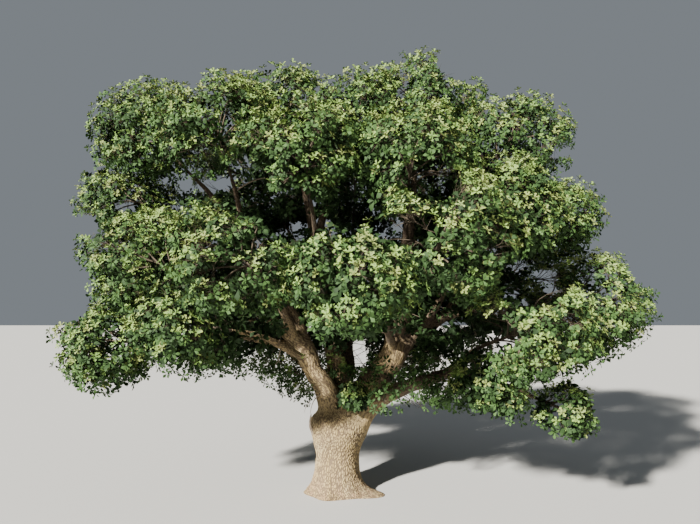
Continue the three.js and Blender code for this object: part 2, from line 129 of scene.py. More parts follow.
# name, carrier, radius, where it springs (foot) or how far along its carrier it leaves, bends,
# then the mass at its tip: name, middle, reach
LIMBS = [
    ("bough_left", "trunk", 0.42, (-0.2, -0.12),
     [(-0.42, -0.16, 3.8), (-0.95, -0.25, 4.5), (-1.25, -0.35, 5.3)],
     "left", (-6.1, -3.2, 8.3), 2.45),
    ("bough_right", "trunk", 0.6, (0.5, -0.05),
     [(1.25, -0.05, 3.9), (2.05, -0.15, 4.9), (2.35, -0.2, 5.9)],
     "top_right", (3.3, -0.8, 14.5), 2.45),
    ("bough_centre", "trunk", 0.42, (0.05, 0.3),
     [(-0.1, 0.75, 4.6), (-0.7, 0.9, 7.4), (-0.75, 0.4, 9.8)],
     "top", (0.6, -1.8, 13.7), 2.3),
    ("bough_right_low", "trunk", 0.34, (0.7, -0.35),
     [(1.5, -0.5, 3.35), (2.5, -0.8, 3.9), (3.8, -1.5, 4.45)],
     "right_low", (5.7, -4.8, 6.1), 2.2),
    ("bough_back_left", "trunk", 0.36, (-0.25, 0.35), [(-0.9, 1.1, 4.1)],
     "back_left", (-4.3, 5.6, 7.0), 3.15),
    ("bough_back", "trunk", 0.38, (0.1, 0.5), [(0.35, 1.7, 4.4)],
     "back", (0.2, 7.0, 7.8), 3.2),
    ("bough_back_right", "trunk", 0.38, (0.55, 0.4), [(1.6, 1.3, 4.0)],
     "back_right", (4.6, 5.6, 7.1), 3.1),
    ("bough_left_upright", "bough_left", 0.25, 0.36, [(-1.85, -0.1, 6.9), (-3.3, 0.1, 8.9)],
     "top_far_left", (-6.9, -1.7, 13.2), 2.35),
    ("bough_right_outer", "bough_right", 0.28, 0.27, [(3.6, -0.5, 6.3)],
     "right_tip", (8.35, -2.3, 6.8), 2.5),
    ("limb_left_low", "bough_left", 0.16, 0.42, [], "left_low", (-7.5, -2.6, 5.6), 2.05),
    ("limb_left_front_low", "bough_left", 0.14, 0.34, [],
     "left_front_low", (-4.4, -4.7, 6.3), 1.85),
    ("limb_left_front", "bough_left", 0.17, 0.5, [], "left_front", (-2.5, -6.1, 8.1), 2.3),
    ("limb_left_tip", "bough_left_upright", 0.12, 0.5, [], "left_tip", (-7.9, -1.0, 10.9), 1.95),
    ("limb_top_left", "bough_left_upright", 0.13, 0.62, [], "top_left", (-3.9, -3.7, 12.6), 2.2),
    ("limb_centre_left", "bough_centre", 0.2, 0.6, [],
     "top_centre_left", (-2.0, -0.9, 14.2), 2.3),
    ("limb_centre_front", "bough_centre", 0.15, 0.5, [],
     "front_upper_left", (-0.9, -5.0, 11.2), 2.2),
    ("limb_centre_back", "bough_centre", 0.2, 0.42, [], "top_back_left", (-3.5, 2.6, 12.4), 3.0),
    ("limb_right_front", "bough_right", 0.2, 0.36, [], "right_front", (3.0, -6.2, 8.6), 2.3),
    ("limb_front", "bough_right", 0.17, 0.3, [], "front", (0.6, -6.9, 7.5), 2.1),
    ("limb_right_front_upper", "bough_right", 0.15, 0.5, [],
     "front_upper_right", (2.3, -4.9, 11.2), 2.2),
    ("limb_top_far_right", "bough_right", 0.18, 0.56, [],
     "top_far_right", (6.4, -1.4, 12.9), 2.35),
    ("limb_right_upper", "bough_right_outer", 0.14, 0.5, [], "right_upper", (7.4, -1.6, 9.9), 2.2),
    ("limb_right_middle", "bough_right_outer", 0.15, 0.36, [],
     "right_middle", (5.2, -4.4, 9.7), 2.2),
    ("limb_right_low", "bough_right_low", 0.12, 0.5, [],
     "right_inner_low", (4.8, -3.9, 4.6), 1.55),
    ("limb_right_hanging", "bough_right_low", 0.1, 0.66, [],
     "right_hanging", (7.0, -4.1, 3.65), 1.1),
    ("limb_left_back", "bough_back_left", 0.2, 0.4, [], "left_back", (-7.0, 2.3, 8.0), 3.0),
    ("limb_top_back", "bough_back", 0.22, 0.4, [], "top_back", (0.7, 3.8, 12.8), 3.1),
    ("limb_right_back", "bough_back_right", 0.2, 0.4, [], "right_back", (7.2, 2.2, 7.8), 3.0),
    ("limb_top_back_right", "bough_back_right", 0.18, 0.45, [],
     "top_back_right", (4.7, 2.4, 12.0), 2.9),
]
SPROUT_FOOT = np.array([0.3, -0.5, 3.0])
SPROUT = ("fork", (0.55, -1.25, 3.65), 0.62)

# Dead wood: its foot, its bend, its tip and its radius at the foot. Every foot but the last
# two, which are side twigs, lies inside the trunk or limb that carries it.
DEAD_WOOD = [
    ((-0.8, -0.3, 2.05), (-1.12, -0.46, 2.4), (-0.96, -0.52, 2.92), 0.09),
    ((-0.45, -0.3, 3.6), (-1.0, -0.62, 3.6), (-1.0, -0.62, 2.8), 0.028),
    ((2.56, -2.3, 7.1), (3.1, -2.7, 8.0), (2.28, -2.6, 8.66), 0.04),
    ((-3.74, -1.59, 11.04), (-2.9, -1.3, 11.9), (-1.85, -1.05, 11.6), 0.035),
    ((2.48, -2.62, 8.5), (2.1, -2.7, 8.72), (1.59, -2.5, 9.27), 0.024),
    ((-0.95, -0.58, 3.43), (-1.2, -0.7, 3.2), (-1.22, -0.75, 2.95), 0.014),
]
DEAD_SHAPE = (0.25, 8, 9)  # share of the radius left at the tip, sides and steps

# Camera, at the photograph's place and angle, and its frame in pixels
FRAME_WIDTH = 700
FRAME_HEIGHT = 524
CAMERA_PLACE = np.array([0.465, -20.5, 6.46])
CAMERA_PITCH = math.radians(6)
FOCAL_PIXELS = 526
SENSOR_WIDTH = 36

# Passages through the crown where the sky shows: middle and half size in pixels
SKY = [
    ((216, 186), (17, 9)),
    ((127, 207), (15, 7)),
    ((178, 208), (7, 4)),
    ((213, 246), (9, 7)),
    ((309, 203), (11, 8)),
    ((322, 222), (9, 8)),
    ((296, 226), (7, 8)),
    ((376, 211), (7, 5)),
    ((419, 219), (5, 5)),
    ((487, 113), (4, 4)),
    ((363, 281), (9, 5)),
    ((442, 327), (9, 9)),
    ((462, 324), (10, 5)),
    ((497, 315), (6, 5)),
    ((357, 352), (13, 16)),
    ((517, 267), (12, 8)),
    ((545, 277), (15, 8)),
    ((512, 294), (8, 6)),
    ((551, 291), (11, 6)),
    ((525, 305), (7, 6)),
    ((617, 301), (4, 4)),
]
# Dark hollows between the tiers of the crown, where nothing grows nearer than a certain Y
HOLLOWS = [
    ((245, 188), (26, 34), -1.2),
    ((292, 215), (34, 30), -1.2),
    ((350, 205), (18, 34), -1.0),
    ((402, 233), (34, 17), -1.6),
    ((434, 182), (30, 20), -1.2),
    ((198, 160), (22, 14), -1.4),
    ((222, 272), (30, 10), -2.6),
    ((535, 282), (38, 28), -1.6),
    ((480, 335), (44, 20), -1.8),
    ((494, 250), (14, 9), -2.4),
    ((568, 320), (13, 8), -2.8),
]
# Where the lit limbs show, so nothing grows in front of them
OPEN_LIMBS = [
    ((328, 394), (15, 14), -0.4),
    ((314, 368), (12, 17), -0.5),
    ((299, 336), (15, 14), -0.6),
    ((287, 316), (11, 13), -0.8),
    ((400, 350), (14, 20), -0.3),
    ((429, 323), (8, 11), -0.6),
]
# Ways along which the sun reaches the limbs: a point on a limb, and how wide
SUN_WAY = np.array([-0.574, -0.704, 0.417])
SUN_WAYS = [
    ((-0.55, -0.45, 3.85), 0.32),
    ((-0.85, -0.5, 4.35), 0.37),
    ((-1.15, -0.6, 4.95), 0.35),
    ((1.95, -0.7, 4.75), 0.36),
    ((2.2, -0.75, 5.3), 0.36),
]
# Bays in the crown's edge, told the same way
BAYS = [
    ((460, 62), (25, 20)),
    ((88, 226), (16, 12)),
    ((60, 308), (30, 18)),
    ((655, 264), (30, 26)),
    ((609, 402), (20, 17)),
    ((558, 154), (10, 7)),
]


def squashed(way):
    return way * np.array([1, 1, FLATNESS])


def unsquashed(way):
    return way / np.array([1, 1, FLATNESS])


def length_of(vectors):
    return np.linalg.norm(vectors, axis=-1)


def unit(vectors):
    return vectors / np.maximum(length_of(vectors), 1e-9)[..., None]


def turned(first, second, angle):
    """From the first way round towards the second, which is square to it."""
    return first * np.cos(angle)[..., None] + second * np.sin(angle)[..., None]


def smooth_step(low, high, value):
    share = np.clip((value - low) / (high - low), 0, 1)
    return share * share * (3 - 2 * share)


def by_chance(chance, shape, pair):
    """Numbers left to chance, from a pair of the least and what chance adds to it at most."""
    least, more = pair
    return least + more * chance.random(shape)


def either_way(chance, shape, width):
    """Numbers left to chance, over a width about 0."""
    return width * (chance.random(shape) - 0.5)


def stream_of(name):
    """The source's seeded stream of numbers from 0 to 1, a different one for each name."""
    state = 0
    for letter in name:
        state = (state * 31 + ord(letter)) & WORD

    def draw():
        nonlocal state
        state = (state + 0x6D2B79F5) & WORD
        mixed = (state ^ state >> 15) * (1 | state) & WORD
        mixed = (mixed + (mixed ^ mixed >> 7) * (61 | mixed)) & WORD ^ mixed
        return (mixed ^ mixed >> 14) / 2**32

    return draw


# Finishes


class Value:
    """A socket of a finish, whose arithmetic adds Math nodes."""

    def __init__(self, finish, socket):
        self.finish = finish
        self.socket = socket

    def math(self, operation, first, second):
        return self.finish.node("ShaderNodeMath", {"operation": operation}, {0: first, 1: second})

    def __add__(self, other):
        return self.math("ADD", self, other)

    __radd__ = __add__

    def __mul__(self, other):
        return self.math("MULTIPLY", self, other)

    __rmul__ = __mul__

    def __sub__(self, other):
        return self.math("SUBTRACT", self, other)

    def __rsub__(self, other):
        return self.math("SUBTRACT", other, self)


def socket_of(sockets, key):
    """The socket at a place, or with an identifier or else a name."""
    if isinstance(key, int):
        return sockets[key]
    identified = {socket.identifier: socket for socket in sockets}
    return identified.get(key) or sockets[key]


class Finish:
    """A material whose nodes are added one call at a time."""

    def __init__(self, name):
        self.material = bpy.data.materials.new(name)
        self.material.use_nodes = True
        self.tree = self.material.node_tree
        self.shader = self.tree.nodes["Principled BSDF"]

    def set(self, node, sockets):
        for key, value in sockets.items():
            socket = socket_of(node.inputs, key)
            if isinstance(value, Value):
                self.tree.links.new(value.socket, socket)
            else:
                socket.default_value = value

    def node(self, kind, settings, sockets, output=0):
        node = self.tree.nodes.new(kind)
        for key, value in settings.items():
            setattr(node, key, value)
        self.set(node, sockets)
        return Value(self, socket_of(node.outputs, output))

    def attribute(self, name, output="Fac"):
        return self.node("ShaderNodeAttribute", {"attribute_name": name}, {}, output)

    def noise(self, place, scale, detail=3, roughness=0.55):
        sockets = {"Vector": place, "Scale": scale, "Detail": detail, "Roughness": roughness}
        return self.node("ShaderNodeTexNoise", {}, sockets)

    def between(self, value, low, high):
        settings = {"interpolation_type": "SMOOTHSTEP"}
        sockets = {"Value": value, "From Min": low, "From Max": high}
        return self.node("ShaderNodeMapRange", settings, sockets)

    def mix(self, share, first, second):
        """A colour between the first, at 0, and the second."""
        sockets = {"Factor_Float": share, "A_Color": first, "B_Color": second}
        return self.node("ShaderNodeMix", {"data_type": "RGBA"}, sockets, "Result_Color")

    def drawn_out(self, place, upward):
        """A place whose patterns run up the wood, the longer the smaller upward is."""
        return self.node("ShaderNodeMapping", {}, {"Vector": place, "Scale": (1, 1, upward)})

    def bump(self, height, strength, distance):
        sockets = {"Height": height, "Strength": strength, "Distance": distance}
        return self.node("ShaderNodeBump", {}, sockets)


def rgb(red, green, blue):
    return (red, green, blue, 1)


PLATE_TAN = rgb(0.32, 0.233, 0.108)
PLATE_GREY = rgb(0.302, 0.238, 0.126)
# Painted shade: the dark brown of the limbs' bark in the crown's shade, partly their own darker bark
PAINTED_SHADE_BROWN = rgb(0.08, 0.06, 0.041)
STREAK_BROWN = rgb(0.185, 0.138, 0.08)
FISSURE_BROWN = rgb(0.115, 0.082, 0.048)
# Painted shade in the fissures of the limbs
FISSURE_PAINTED_SHADE = rgb(0.06, 0.042, 0.03)
FOOT_BROWN = rgb(0.27, 0.175, 0.1)
LICHEN = rgb(0.47, 0.41, 0.28)
DEAD_BROWN = rgb(0.2, 0.145, 0.1)
DEAD_GREY = rgb(0.42, 0.35, 0.27)
# Painted light: the painted shade is left out round this place, a pale patch where the sun falls on
# the limb
PAINTED_SUN_PLACE = (1.85, -0.6, 5.05)  # on the right bough, where the bark is as pale as on the trunk
PAINTED_SUN_REACH = (0.4, 0.9)  # from there the bark darkens between these distances
# Painted shade of the crown on the limbs' bark
PAINTED_SHADE_HEIGHTS = (3.5, 6.2)  # elsewhere it darkens between these heights
PAINTED_SHADE_TO_RIGHT = 0.8  # sooner to the right
FOOT_STAINED = (0.1, 1.1)
# Scales of the bark's patterns
GRAIN_SCALE = 34
SPECKLE_SCALE = 75
STREAK_SCALE = 13
FOLD_SCALE = 4.5
BROAD_SCALE = 1.1
DEAD_SCALE = 26
GRAIN_UPWARD = 0.28
STREAKS_UPWARD = 0.12
DEAD_UPWARD = 0.25


def bark_finish():
    bark = Finish("oak_bark")
    grain = bark.attribute("grain", "Vector")
    plate = bark.attribute("plate")
    place = bark.node("ShaderNodeTexCoord", {}, {}, "Object")
    height = bark.node("ShaderNodeSeparateXYZ", {}, {"Vector": place}, "Z")
    across = bark.node("ShaderNodeSeparateXYZ", {}, {"Vector": place}, "X")
    # Distance from the painted patch of sunlight on the right bough
    from_painted_sun = bark.node(
        "ShaderNodeVectorMath", {"operation": "DISTANCE"}, {0: place, 1: PAINTED_SUN_PLACE}, "Value")
    upright = bark.drawn_out(grain, STREAKS_UPWARD)

    # Patterns
    fine = bark.noise(bark.drawn_out(grain, GRAIN_UPWARD), GRAIN_SCALE, 5, 0.65)
    speckle = bark.noise(grain, SPECKLE_SCALE, 2, 0.6)
    broad = bark.between(bark.noise(place, BROAD_SCALE, 3), 0.35, 0.7)
    streaks = bark.between(bark.noise(upright, STREAK_SCALE, 3, 0.6), 0.42, 0.62)
    folds = bark.between(bark.noise(upright, FOLD_SCALE, 3, 0.6), 0.42, 0.6)
    foot = (1 - bark.between(height, *FOOT_STAINED)) * folds
    # Painted shade: the limbs' bark darkens higher up and further right, but not on the sunlit patch
    dark = bark.between(height + across * PAINTED_SHADE_TO_RIGHT, *PAINTED_SHADE_HEIGHTS)
    shaded = dark * bark.between(from_painted_sun, *PAINTED_SUN_REACH)
    raised = bark.between(plate + (fine - 0.5) * 0.5 - streaks * 0.22, 0.08, 0.7)

    # Colours, from the plates' own to what stains them, and then the painted shade on the limbs
    plates = bark.mix(broad, PLATE_TAN, PLATE_GREY)
    spotted = bark.mix(bark.between(speckle, 0.6, 0.72) * 0.45, plates, LICHEN)
    streaked = bark.mix(streaks * 0.5, spotted, STREAK_BROWN)
    stained = bark.mix(foot * 0.8, streaked, FOOT_BROWN)
    # The painted shade darkens the plates and, below, the fissures
    painted_shade_bark = bark.mix(shaded * 0.85, stained, PAINTED_SHADE_BROWN)
    fissure = bark.mix(shaded, FISSURE_BROWN, FISSURE_PAINTED_SHADE)
    bark.set(bark.shader, {
        "Base Color": bark.mix(raised, fissure, painted_shade_bark),
        "Roughness": 0.82 + fine * 0.16,
        "Normal": bark.bump(fine * 0.7 + speckle * 0.3 + raised * 0.5, 0.9, 0.025),
        "Specular IOR Level": 0.25,
    })
    return bark.material


def dead_wood_finish():
    wood = Finish("dead_wood")
    place = wood.node("ShaderNodeTexCoord", {}, {}, "Object")
    streaks = wood.noise(wood.drawn_out(place, DEAD_UPWARD), DEAD_SCALE, 4, 0.6)
    wood.set(wood.shader, {
        "Base Color": wood.mix(wood.between(streaks, 0.35, 0.65), DEAD_BROWN, DEAD_GREY),
        "Roughness": 0.8 + streaks * 0.15,
        "Normal": wood.bump(streaks, 0.6, 0.01),
        "Specular IOR Level": 0.2,
    })
    return wood.material


def plain_finish(name, colour, roughness, gloss):
    finish = Finish(name)
    finish.set(finish.shader, {
        "Base Color": colour,
        "Roughness": roughness,
        "Specular IOR Level": gloss,
    })
    return finish.material


LEAF_ROUGHNESS = 0.6
LEAF_GLOSS = 0.17
SHADE_ROUGHNESS = 0.65
SHADE_GLOSS = 0.12
# Greens of the outer leaves, from the darkest to the lightest, with their shares
LEAF_COLOURS = [
    ("leaf_deep", rgb(0.044, 0.084, 0.024), 0.18),
    ("leaf_mid", rgb(0.09, 0.152, 0.037), 0.3),
    ("leaf_olive", rgb(0.138, 0.172, 0.05), 0.2),
    ("leaf_fresh", rgb(0.135, 0.205, 0.05), 0.25),
    ("leaf_dusty", rgb(0.156, 0.205, 0.07), 0.07),
]
# Painted shade: near-black greens for the leaves in shade, the first two under others, the last two
# deep inside the crown
SHADE_COLOURS = [
    ("leaf_dull", rgb(0.034, 0.07, 0.019)),
    ("leaf_dim", rgb(0.02, 0.042, 0.013)),
    ("leaf_shade", rgb(0.01, 0.022, 0.007)),
]

bark = bark_finish()
dead_wood = dead_wood_finish()
twig_bark = plain_finish("twig_bark", rgb(0.066, 0.052, 0.036), 0.85, 0.2)
leaf_greens = [plain_finish(name, colour, LEAF_ROUGHNESS, LEAF_GLOSS)
               for name, colour, _ in LEAF_COLOURS]
leaf_greens += [plain_finish(name, colour, SHADE_ROUGHNESS, SHADE_GLOSS)
                for name, colour in SHADE_COLOURS]


# Pieces


def placed(name, data):
    """A new object in the scene, at the origin."""
    item = bpy.data.objects.new(name, data)
    bpy.context.scene.collection.objects.link(item)
    return item


def add_piece(name, mesh, finishes, slot, *nodes):
    """Puts a finished mesh into the scene as a piece of the tree that stands for its nodes."""
    for finish in finishes:
        mesh.materials.append(finish)
    piece = placed(name, mesh)
    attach(piece, "root")
    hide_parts(*nodes)


def upright_tube(columns, rows):
    """A closed cylinder of unit radius and height, cut into even rows."""
    tube = bmesh.new()
    bmesh.ops.create_cone(
        tube, cap_ends=True, cap_tris=False, segments=columns, radius1=1, radius2=1, depth=1)
    uprights = [edge for edge in tube.edges if abs(edge.verts[0].co.z - edge.verts[1].co.z) > 0.5]
    bmesh.ops.subdivide_edges(tube, edges=uprights, cuts=rows - 1)
    return tube


# The vector noise that moves the plates about would follow the clock without a seed
NOISE_SEED = 1
noise.seed_set(NOISE_SEED)


def plates_at(grain, width, length):
    """How far each point of straightened bark stands on a plate: 0 in a fissure, 1 on top."""
    scale = np.array([1 / width, 1 / width, 1 / length])
    heights = np.empty(len(grain))
    for row, point in enumerate(grain):
        spot = Vector(point * scale)
        spot += noise.noise_vector(spot * STRAY_SCALE) * PLATE_STRAY
        near = noise.voronoi(spot)[0]
        heights[row] = near[1] - near[0]
    return smooth_step(PLATE_FOOT, PLATE_EDGE, heights)


def slow_noise(points):
    return np.array([noise.noise(Vector(point)) for point in points])


def soft_gap(points, solids, softness):
    """How far points stand outside the solids' soft union; below 0 they are inside."""
    near = sum(np.exp(-np.clip(solid(points), -FAR_OFF, FAR_OFF) / softness) for solid in solids)
    return -softness * np.log(np.maximum(near, 1e-12))


def flow_together(skin, outward, solids, softness):
    """Swells the skin onto the soft union of the limbs that meet at a fork."""
    depth = soft_gap(skin, solids, softness)
    moving = (depth > -FORK_DEPTH) & (depth < -FORK_TOUCH)
    points = skin[moving]
    ways = outward[moving]
    shift = np.zeros(len(points))
    for _ in range(FLOW_STEPS):
        gap = soft_gap(points + ways * shift[:, None], solids, softness)
        shift = np.clip(shift - FLOW_STEP * gap, 0, FORK_SWELL)
    shift = shift * smooth_step(-FORK_DEPTH, -0.5 * FORK_DEPTH, depth[moving])
    skin = skin.copy()
    skin[moving] = points + ways * shift[:, None]
    return skin


def bark_piece(name, node, columns, rows, surface, solids, softness):
    """A tube of bark: surface gives its skin, its way out, its grain and its plates' size."""
    tube = upright_tube(columns, rows)
    mesh = bpy.data.meshes.new(name)
    tube.to_mesh(mesh)
    tube.free()
    flat = np.empty(len(mesh.vertices) * 3)
    mesh.vertices.foreach_get("co", flat)
    x, y, z = flat.reshape(-1, 3).T
    skin, outward, grain, plate_width, plate_depth = surface(z + 0.5, np.arctan2(y, x))
    skin = flow_together(skin, outward, solids, softness)
    plate = plates_at(grain, plate_width, plate_width * PLATE_LENGTH / PLATE_WIDTH)
    skin = skin + outward * ((plate - 0.5) * plate_depth)[:, None]
    mesh.vertices.foreach_set("co", skin.ravel())
    mesh.attributes.new("grain", "FLOAT_VECTOR", "POINT").data.foreach_set("vector", grain.ravel())
    mesh.attributes.new("plate", "FLOAT", "POINT").data.foreach_set("value", plate)
    mesh.shade_smooth()
    mesh.update()
    add_piece(name, mesh, [bark], "bark", node)


# Trunk


def trunk_radius(height, heading):
    swell = smooth_step(WAIST_HEIGHT, SHOULDER_HEIGHT, height)
    close = smooth_step(SHOULDER_HEIGHT, TRUNK_HEIGHT, height) ** 2
    column = WAIST_RADIUS + (SHOULDER_RADIUS - WAIST_RADIUS) * swell
    column = column + (CROTCH_RADIUS - SHOULDER_RADIUS) * close
    fade = np.exp(-height / FLARE_FADE)
    flare = FLARE_SPREAD * fade
    for toe, out, half in TOES:
        off = (np.degrees(heading) - toe + 180) % 360 - 180
        flare = flare + out * fade * fade * np.exp(-((off / half) ** 2))
    return column + flare


def trunk_gap(points):
    """How far points stand outside the trunk."""
    height = np.clip(points[:, 2], 0, TRUNK_HEIGHT)
    across = points[:, 0] - LEAN * (height / TRUNK_HEIGHT) ** 2
    wall = np.hypot(across, points[:, 1])
    wall = wall - trunk_radius(height, np.arctan2(points[:, 1], across))
    return np.maximum(WALL_SLOPE * wall, points[:, 2] - TRUNK_HEIGHT)


def trunk_surface(share, heading):
    """The trunk's wall up to its crotch, which closes over in a low dome."""
    wall = np.minimum(share / DOME_FROM, 1)
    over = np.clip((share - DOME_FROM) / (1 - DOME_FROM), 0, DOME_SHUT)
    arch = over * math.pi / 2
    height = TRUNK_HEIGHT * wall**CROWDED_LOW
    outward = np.stack([np.cos(heading), np.sin(heading), np.zeros_like(heading)], -1)
    radius = trunk_radius(height, heading) * np.cos(arch)
    grain = outward * np.maximum(radius, LEAST_GRAIN)[:, None]
    grain[:, 2] = height + over * DOME_GRAIN
    flutes = slow_noise(grain * FLUTE_SCALE)
    lumps = slow_noise(grain * LUMP_SCALE + LUMP_SHIFT)
    free = smooth_step(0, TRUE_FOOT, height) * np.cos(arch)
    folds = 1 + FOLD_WEIGHT * np.exp(-height / FOLD_FADE)
    relief = flutes * FLUTE_WEIGHT * folds + lumps * LUMP_WEIGHT
    radius = radius + FLUTE_DEPTH * free * relief
    skin = outward * radius[:, None]
    skin[:, 0] += LEAN * (height / TRUNK_HEIGHT) ** 2
    skin[:, 2] = height + DOME_RISE * np.sin(arch)
    outward = outward * np.cos(arch)[:, None]
    outward[:, 2] = np.sin(arch)
    return skin, outward, grain, PLATE_WIDTH, PLATE_DEPTH


def make_trunk():
    boughs = [limb.gap for limb in limbs.values() if limb.carrier == "trunk"]
    bark_piece("trunk_bark", "trunk", TRUNK_COLUMNS, TRUNK_ROWS, trunk_surface,
               [trunk_gap, *boughs], FORK_SOFTNESS)


# Limbs


class Curve:
    """A centripetal curve through its points, followed by share of its length."""

    def __init__(self, points):
        points = [np.array(point, float) for point in points]
        before = 2 * points[0] - points[1]
        after = 2 * points[-1] - points[-2]
        points = [before, *points, after]
        stretches = len(points) - 3
        places = []
        for step in np.linspace(0, stretches, CURVE_SAMPLES):
            first = min(int(step), stretches - 1)
            places.append(self.passing(points[first:first + 4], step - first))
        self.places = np.array(places)
        steps = length_of(np.diff(self.places, axis=0))
        self.length = steps.sum()
        self.along = np.concatenate(([0], np.cumsum(steps))) / self.length
        self.ways = unit(np.gradient(self.places, self.along, axis=0))
        self.sides = self.carried_sides()

    @staticmethod
    def passing(points, weight):
        gaps = [math.sqrt(length_of(b - a)) for a, b in zip(points, points[1:])]
        steps = [b - a for a, b in zip(points, points[1:])]
        leaving = (steps[0] / gaps[0] - (points[2] - points[0]) / (gaps[0] + gaps[1])
                   + steps[1] / gaps[1]) * gaps[1]
        arriving = (steps[1] / gaps[1] - (points[3] - points[1]) / (gaps[1] + gaps[2])
                    + steps[2] / gaps[2]) * gaps[1]
        square = -3 * points[1] + 3 * points[2] - 2 * leaving - arriving
        cube = 2 * points[1] - 2 * points[2] + leaving + arriving
        return points[1] + weight * (leaving + weight * (square + weight * cube))

    def carried_sides(self):
        """A way to the side at each sample, carried along the curve without turning about it."""
        side = unit(np.cross(self.ways[0], UP))
        sides = []
        for way in self.ways:
            side = unit(side - way * (side @ way))
            sides.append(side)
        return np.array(sides)

    def read(self, rows, share):
        return np.stack([np.interp(share, self.along, rows[:, axis]) for axis in range(3)], -1)

    def at(self, share):
        return self.read(self.places, share)

    def way_at(self, share):
        return unit(self.read(self.ways, share))

    def side_at(self, share):
        return unit(self.read(self.sides, share))


class Limb:
    """A limb's line, from its carrier to the edge of its mass, its taper, and the mass."""

    def __init__(self, entry, grown):
        self.name, self.carrier, self.radius, foot, bends, mass, middle, reach = entry
        if self.carrier == "trunk":
            start = np.array([*foot, BOUGH_FOOT])
        else:
            start = grown[self.carrier].curve.at(foot)
        points = [start, *(np.array(bend) for bend in bends)]
        middle = np.array(middle)
        high = points[-1] * (1 - RISE_AT) + middle * RISE_AT
        high[2] += RISE * length_of(middle - points[-1])
        inward = unit(high - middle) * reach * ENTRY
        inward[2] = np.clip(inward[2], -reach * FLATNESS, reach * FLATNESS)
        self.curve = Curve([*points, high, middle + inward])
        tip = self.curve.at(1)
        onward = self.curve.way_at(1)
        stem = (tip - STEM_SUNK * onward, tip + STEM_BEND * reach * onward)
        self.mass = Mass(mass, middle, reach, stem)

    def radius_at(self, share):
        return TIP_RADIUS + (self.radius - TIP_RADIUS) * (1 - share) ** TAPER

    def gap(self, points, whole=False):
        """How far points stand outside the limb's first stretch, or the whole of it."""
        end = 1 if whole else min(1, NEAR_FOOT / self.curve.length)
        nearest = np.full(len(points), np.inf)
        for share in np.linspace(0, end, int(end * self.curve.length / GAP_STEP) + 2):
            gap = length_of(points - self.curve.at(share)) - self.radius_at(share)
            nearest = np.minimum(nearest, gap)
        return nearest

    def whole_gap(self, points):
        return self.gap(points, True)

    def surface(self, share, heading):
        """The limb's skin, with slow lumps and a line that wanders a little."""
        radius = self.radius_at(share)
        along = share * self.curve.length
        way = self.curve.way_at(share)
        side = self.curve.side_at(share)
        above = np.cross(way, side)
        outward = turned(side, above, heading)
        grain = np.stack([np.cos(heading) * radius, np.sin(heading) * radius, along], -1)
        seed = stream_of(self.name)() * 100
        lumps = slow_noise(grain * LIMB_LUMP_SCALE / max(self.radius, STOUT) ** 0.5 + seed)
        held = np.sin(np.clip(share, 0, 1) * math.pi)
        still = along * 0
        lines = [np.stack([along * WANDER_SCALE, still + seed + row, still], -1) for row in range(2)]
        stray = np.stack([slow_noise(line) for line in lines], -1)
        shift = (side * stray[:, :1] + above * stray[:, 1:]) * (WANDER * 2 * radius * held)[:, None]
        skin = self.curve.at(share) + shift + outward * (radius * (1 + LIMB_LUMPS * lumps))[:, None]
        plate_width = float(np.clip(self.radius * LIMB_PLATE, LEAST_PLATE, PLATE_WIDTH))
        plate_depth = np.minimum(PLATE_DEPTH, LIMB_RELIEF * radius)
        return skin, outward, grain, plate_width, plate_depth

    def make(self):
        columns = int(np.clip(2 * math.pi * self.radius / COLUMN_WIDTH, *LIMB_COLUMNS))
        rows = int(self.curve.length / ROW_LENGTH)
        solids = [limb.gap for limb in limbs.values() if limb.carrier == self.name]
        if self.carrier == "trunk":
            solids += [limb.gap for limb in limbs.values() if limb.carrier == "trunk"]
            solids += [trunk_gap]
            softness = FORK_SOFTNESS
        else:
            solids += [self.whole_gap, limbs[self.carrier].whole_gap]
            softness = LIMB_SOFTNESS
        bark_piece(self.name + "_bark", self.name, columns, rows, self.surface, solids, softness)


# Masses of leaves: flattened balls that share flat walls where they meet


class Mass:
    """A mass's middle, its reach, and the foot and bend of the stem that runs to its middle."""

    def __init__(self, name, middle, reach, stem):
        self.name = name
        self.middle = np.array(middle)
        self.reach = reach
        self.stem = stem


def room_at(mass, points):
    """How far inside its mass's own space each point lies; below 0 it is outside."""
    offset = unsquashed(points - mass.middle)
    room = mass.reach - length_of(offset)
    for other in masses:
        between = unsquashed(other.middle - mass.middle)
        distance = length_of(between)
        if other is not mass and distance < mass.reach + other.reach:
            wall = (distance**2 + mass.reach**2 - other.reach**2) / (2 * distance)
            room = np.minimum(room, wall - offset @ between / distance - CELL_MARGIN)
    return room


def clear_of_limbs(points, margin):
    """Whether each point stands clear of every limb."""
    clear = np.ones(len(points), bool)
    for limb in limbs.values():
        share = np.linspace(0, 1, int(limb.curve.length / CLEAR_STEP) + 2)
        gaps = length_of(points[:, None] - limb.curve.at(share)) - limb.radius_at(share)
        clear &= gaps.min(axis=1) > margin
    return clear


def pixels_of(points):
    """Where points fall in the photograph's frame."""
    offset = points - CAMERA_PLACE
    depth = offset[:, 1] * math.cos(CAMERA_PITCH) + offset[:, 2] * math.sin(CAMERA_PITCH)
    above = offset[:, 2] * math.cos(CAMERA_PITCH) - offset[:, 1] * math.sin(CAMERA_PITCH)
    across = FRAME_WIDTH / 2 + FOCAL_PIXELS * offset[:, 0] / depth
    down = FRAME_HEIGHT / 2 - FOCAL_PIXELS * above / depth
    return np.stack([across, down], -1)


